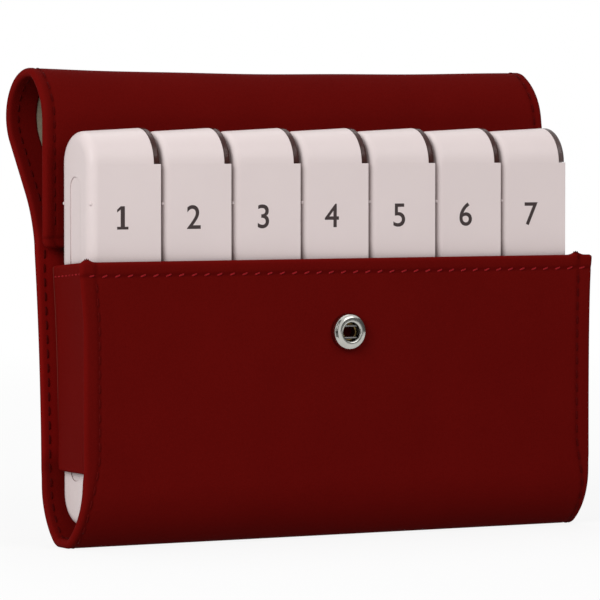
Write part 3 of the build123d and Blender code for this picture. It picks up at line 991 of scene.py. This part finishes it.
def smoky_clear():
    """Dark brown tint that lets light through: less in the thick head above the tray's step. The brown
    is partly painted reflection of the red leather.
    """
    finish = Nodes(bpy.data.materials.new("smoky_plastic"))
    place = finish.add("TexCoord", out="Object")
    height = finish.add("SeparateXYZ", {"Vector": place}, out="Z")
    head = {"From Min": head_start, "From Max": head_full, "To Min": plate_tint, "To Max": head_tint}
    smear = finish.add("TexNoise", {"Vector": place, "Scale": 60, "Detail": 2})
    material = finish.shade(
        {
            # Brown partly painted reflection of the red leather.
            "Base Color": finish.blend(smear, (0.056, 0.019, 0.016, 1), (0.068, 0.026, 0.022, 1)),
            "Roughness": smear * 0.08 + 0.12,
            "Alpha": finish.add("MapRange", {"Value": height, **head}),
            "Specular IOR Level": 0.25,
        }
    )
    material.surface_render_method = "BLENDED"
    return material


smoky_finish = smoky_clear()
for day in days:
    lid = nodes[day + "_lid"]
    lid.data.materials.clear()
    lid.data.materials.append(smoky_finish)

# Numbers
# Printed in dark ink on each box's drafted front face, one for each day. The first number is drawn
# with a flag and a foot, so that it can't be taken for a bare stroke.
ink = Nodes(bpy.data.materials.new("ink"))
fade = ink.add("TexNoise", {"Vector": ink.add("TexCoord", out="Object"), "Scale": 900, "Detail": 2})
ink_finish = ink.shade(
    {
        "Base Color": ink.blend(fade, (0.022, 0.010, 0.010, 1), (0.036, 0.018, 0.018, 1)),
        "Roughness": fade * 0.1 + 0.5,
    }
)
draft = radians(3)
number_height = 80.3 * mm
from_rim = 10.2 * mm
number_size = 8.3 * mm
ink_depth = 0.015 * mm
ink_spread = 0.06 * mm
ink_gap = 0.02 * mm
bar, serif, base, foot, top = 0.066, 0.18, -0.3, -0.22, 0.382
one = [(-serif, 0.2), (-serif, 0.28), (-bar, top), (bar, top), (bar, foot), (serif, foot)]
one += [(serif, base), (-serif, base), (-serif, foot), (-bar, foot), (-bar, 0.29)]
one = np.array(one) * number_size
one_back, one_front = np.insert(one, 2, -ink_depth, axis=1), np.insert(one, 2, ink_depth, axis=1)
one_points = np.concatenate([one_back, one_front])
one_turn = np.arange(len(one))
one_next = np.roll(one_turn, -1)
one_sides = np.stack([one_turn, one_next, one_next + len(one), one_turn + len(one)], axis=-1)
one_faces = [one_turn.tolist(), (one_turn[::-1] + len(one)).tolist()] + one_sides[:, ::-1].tolist()
right = Vector((cos(draft), -sin(draft), 0))
up = Vector((0, 0, 1))
face_turn = Matrix((right, up, right.cross(up))).transposed().to_4x4()
for number, day in enumerate(days, 1):
    low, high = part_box(day + "_tray")
    if number == 1:
        print_mesh = bpy.data.meshes.new(day + "_number")
        print_mesh.from_pydata(one_points.tolist(), [], one_faces)
    else:
        curve = bpy.data.curves.new(day + "_number", "FONT")
        curve.body = str(number)
        curve.size = number_size
        curve.align_x = "CENTER"
        curve.align_y = "CENTER"
        curve.extrude = ink_depth
        curve.bevel_depth = ink_spread
        curve.resolution_u = 6
        lettering = bpy.data.objects.new("lettering", curve)
        print_mesh = bpy.data.meshes.new_from_object(lettering)
        bpy.data.objects.remove(lettering)
        print_mesh.transform(Matrix.Diagonal((1, 1, ink_depth / (ink_depth + ink_spread), 1)))
    spot = Vector((high.x - from_rim, low.y + from_rim * tan(draft) - ink_gap, number_height))
    print_mesh.transform(Matrix.Translation(spot) @ face_turn)
    print_mesh.materials.clear()
    print_mesh.materials.append(ink_finish)
    printed = bpy.data.objects.new(day + "_number", print_mesh)
    scene.collection.objects.link(printed)
    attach(printed, day + "_box")

# Press stud
# The socket on the pocket's front is a nickel ring with a spring of bare wire and a brass eyelet. Its
# stud and cap are riveted through the flap's hanging end.


def plated(name, dull, clear, rough):
    """Plated metal: faint polishing lines and a little tarnish."""
    finish = Nodes(bpy.data.materials.new(name))
    place = finish.add("TexCoord", out="Object")
    tarnish = finish.add("TexNoise", {"Vector": place, "Scale": 600, "Detail": 3})
    fine = finish.add("TexNoise", {"Vector": place, "Scale": 6000, "Detail": 2})
    lines = {"Height": fine, "Strength": 0.04, "Distance": 0.00004}
    return finish.shade(
        {
            "Base Color": finish.blend(tarnish, dull, clear),
            "Metallic": 1.0,
            "Roughness": tarnish * 0.1 + rough,
            "Normal": finish.add("Bump", lines),
        }
    )


# The nickel is darker and greener than bright nickel, partly a painted reflection of darker surroundings.
nickel = plated("nickel", (0.40, 0.40, 0.37, 1), (0.56, 0.55, 0.51, 1), 0.1)
# Painted shade: the spring's steel and the eyelet's brass are painted dark, as they sit deep in the
# socket's hole.
spring_steel = plated("spring_steel", (0.12, 0.115, 0.11, 1), (0.24, 0.23, 0.22, 1), 0.2)
brass = plated("brass", (0.20, 0.135, 0.045, 1), (0.36, 0.26, 0.10, 1), 0.25)
metals = {
    "snap_socket": nickel,
    "snap_stud": nickel,
    "snap_cap": nickel,
    "snap_spring": spring_steel,
    "snap_eyelet": brass,
}
for node_name, metal in metals.items():
    nodes[node_name].data.materials.clear()
    nodes[node_name].data.materials.append(metal)

low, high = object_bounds()
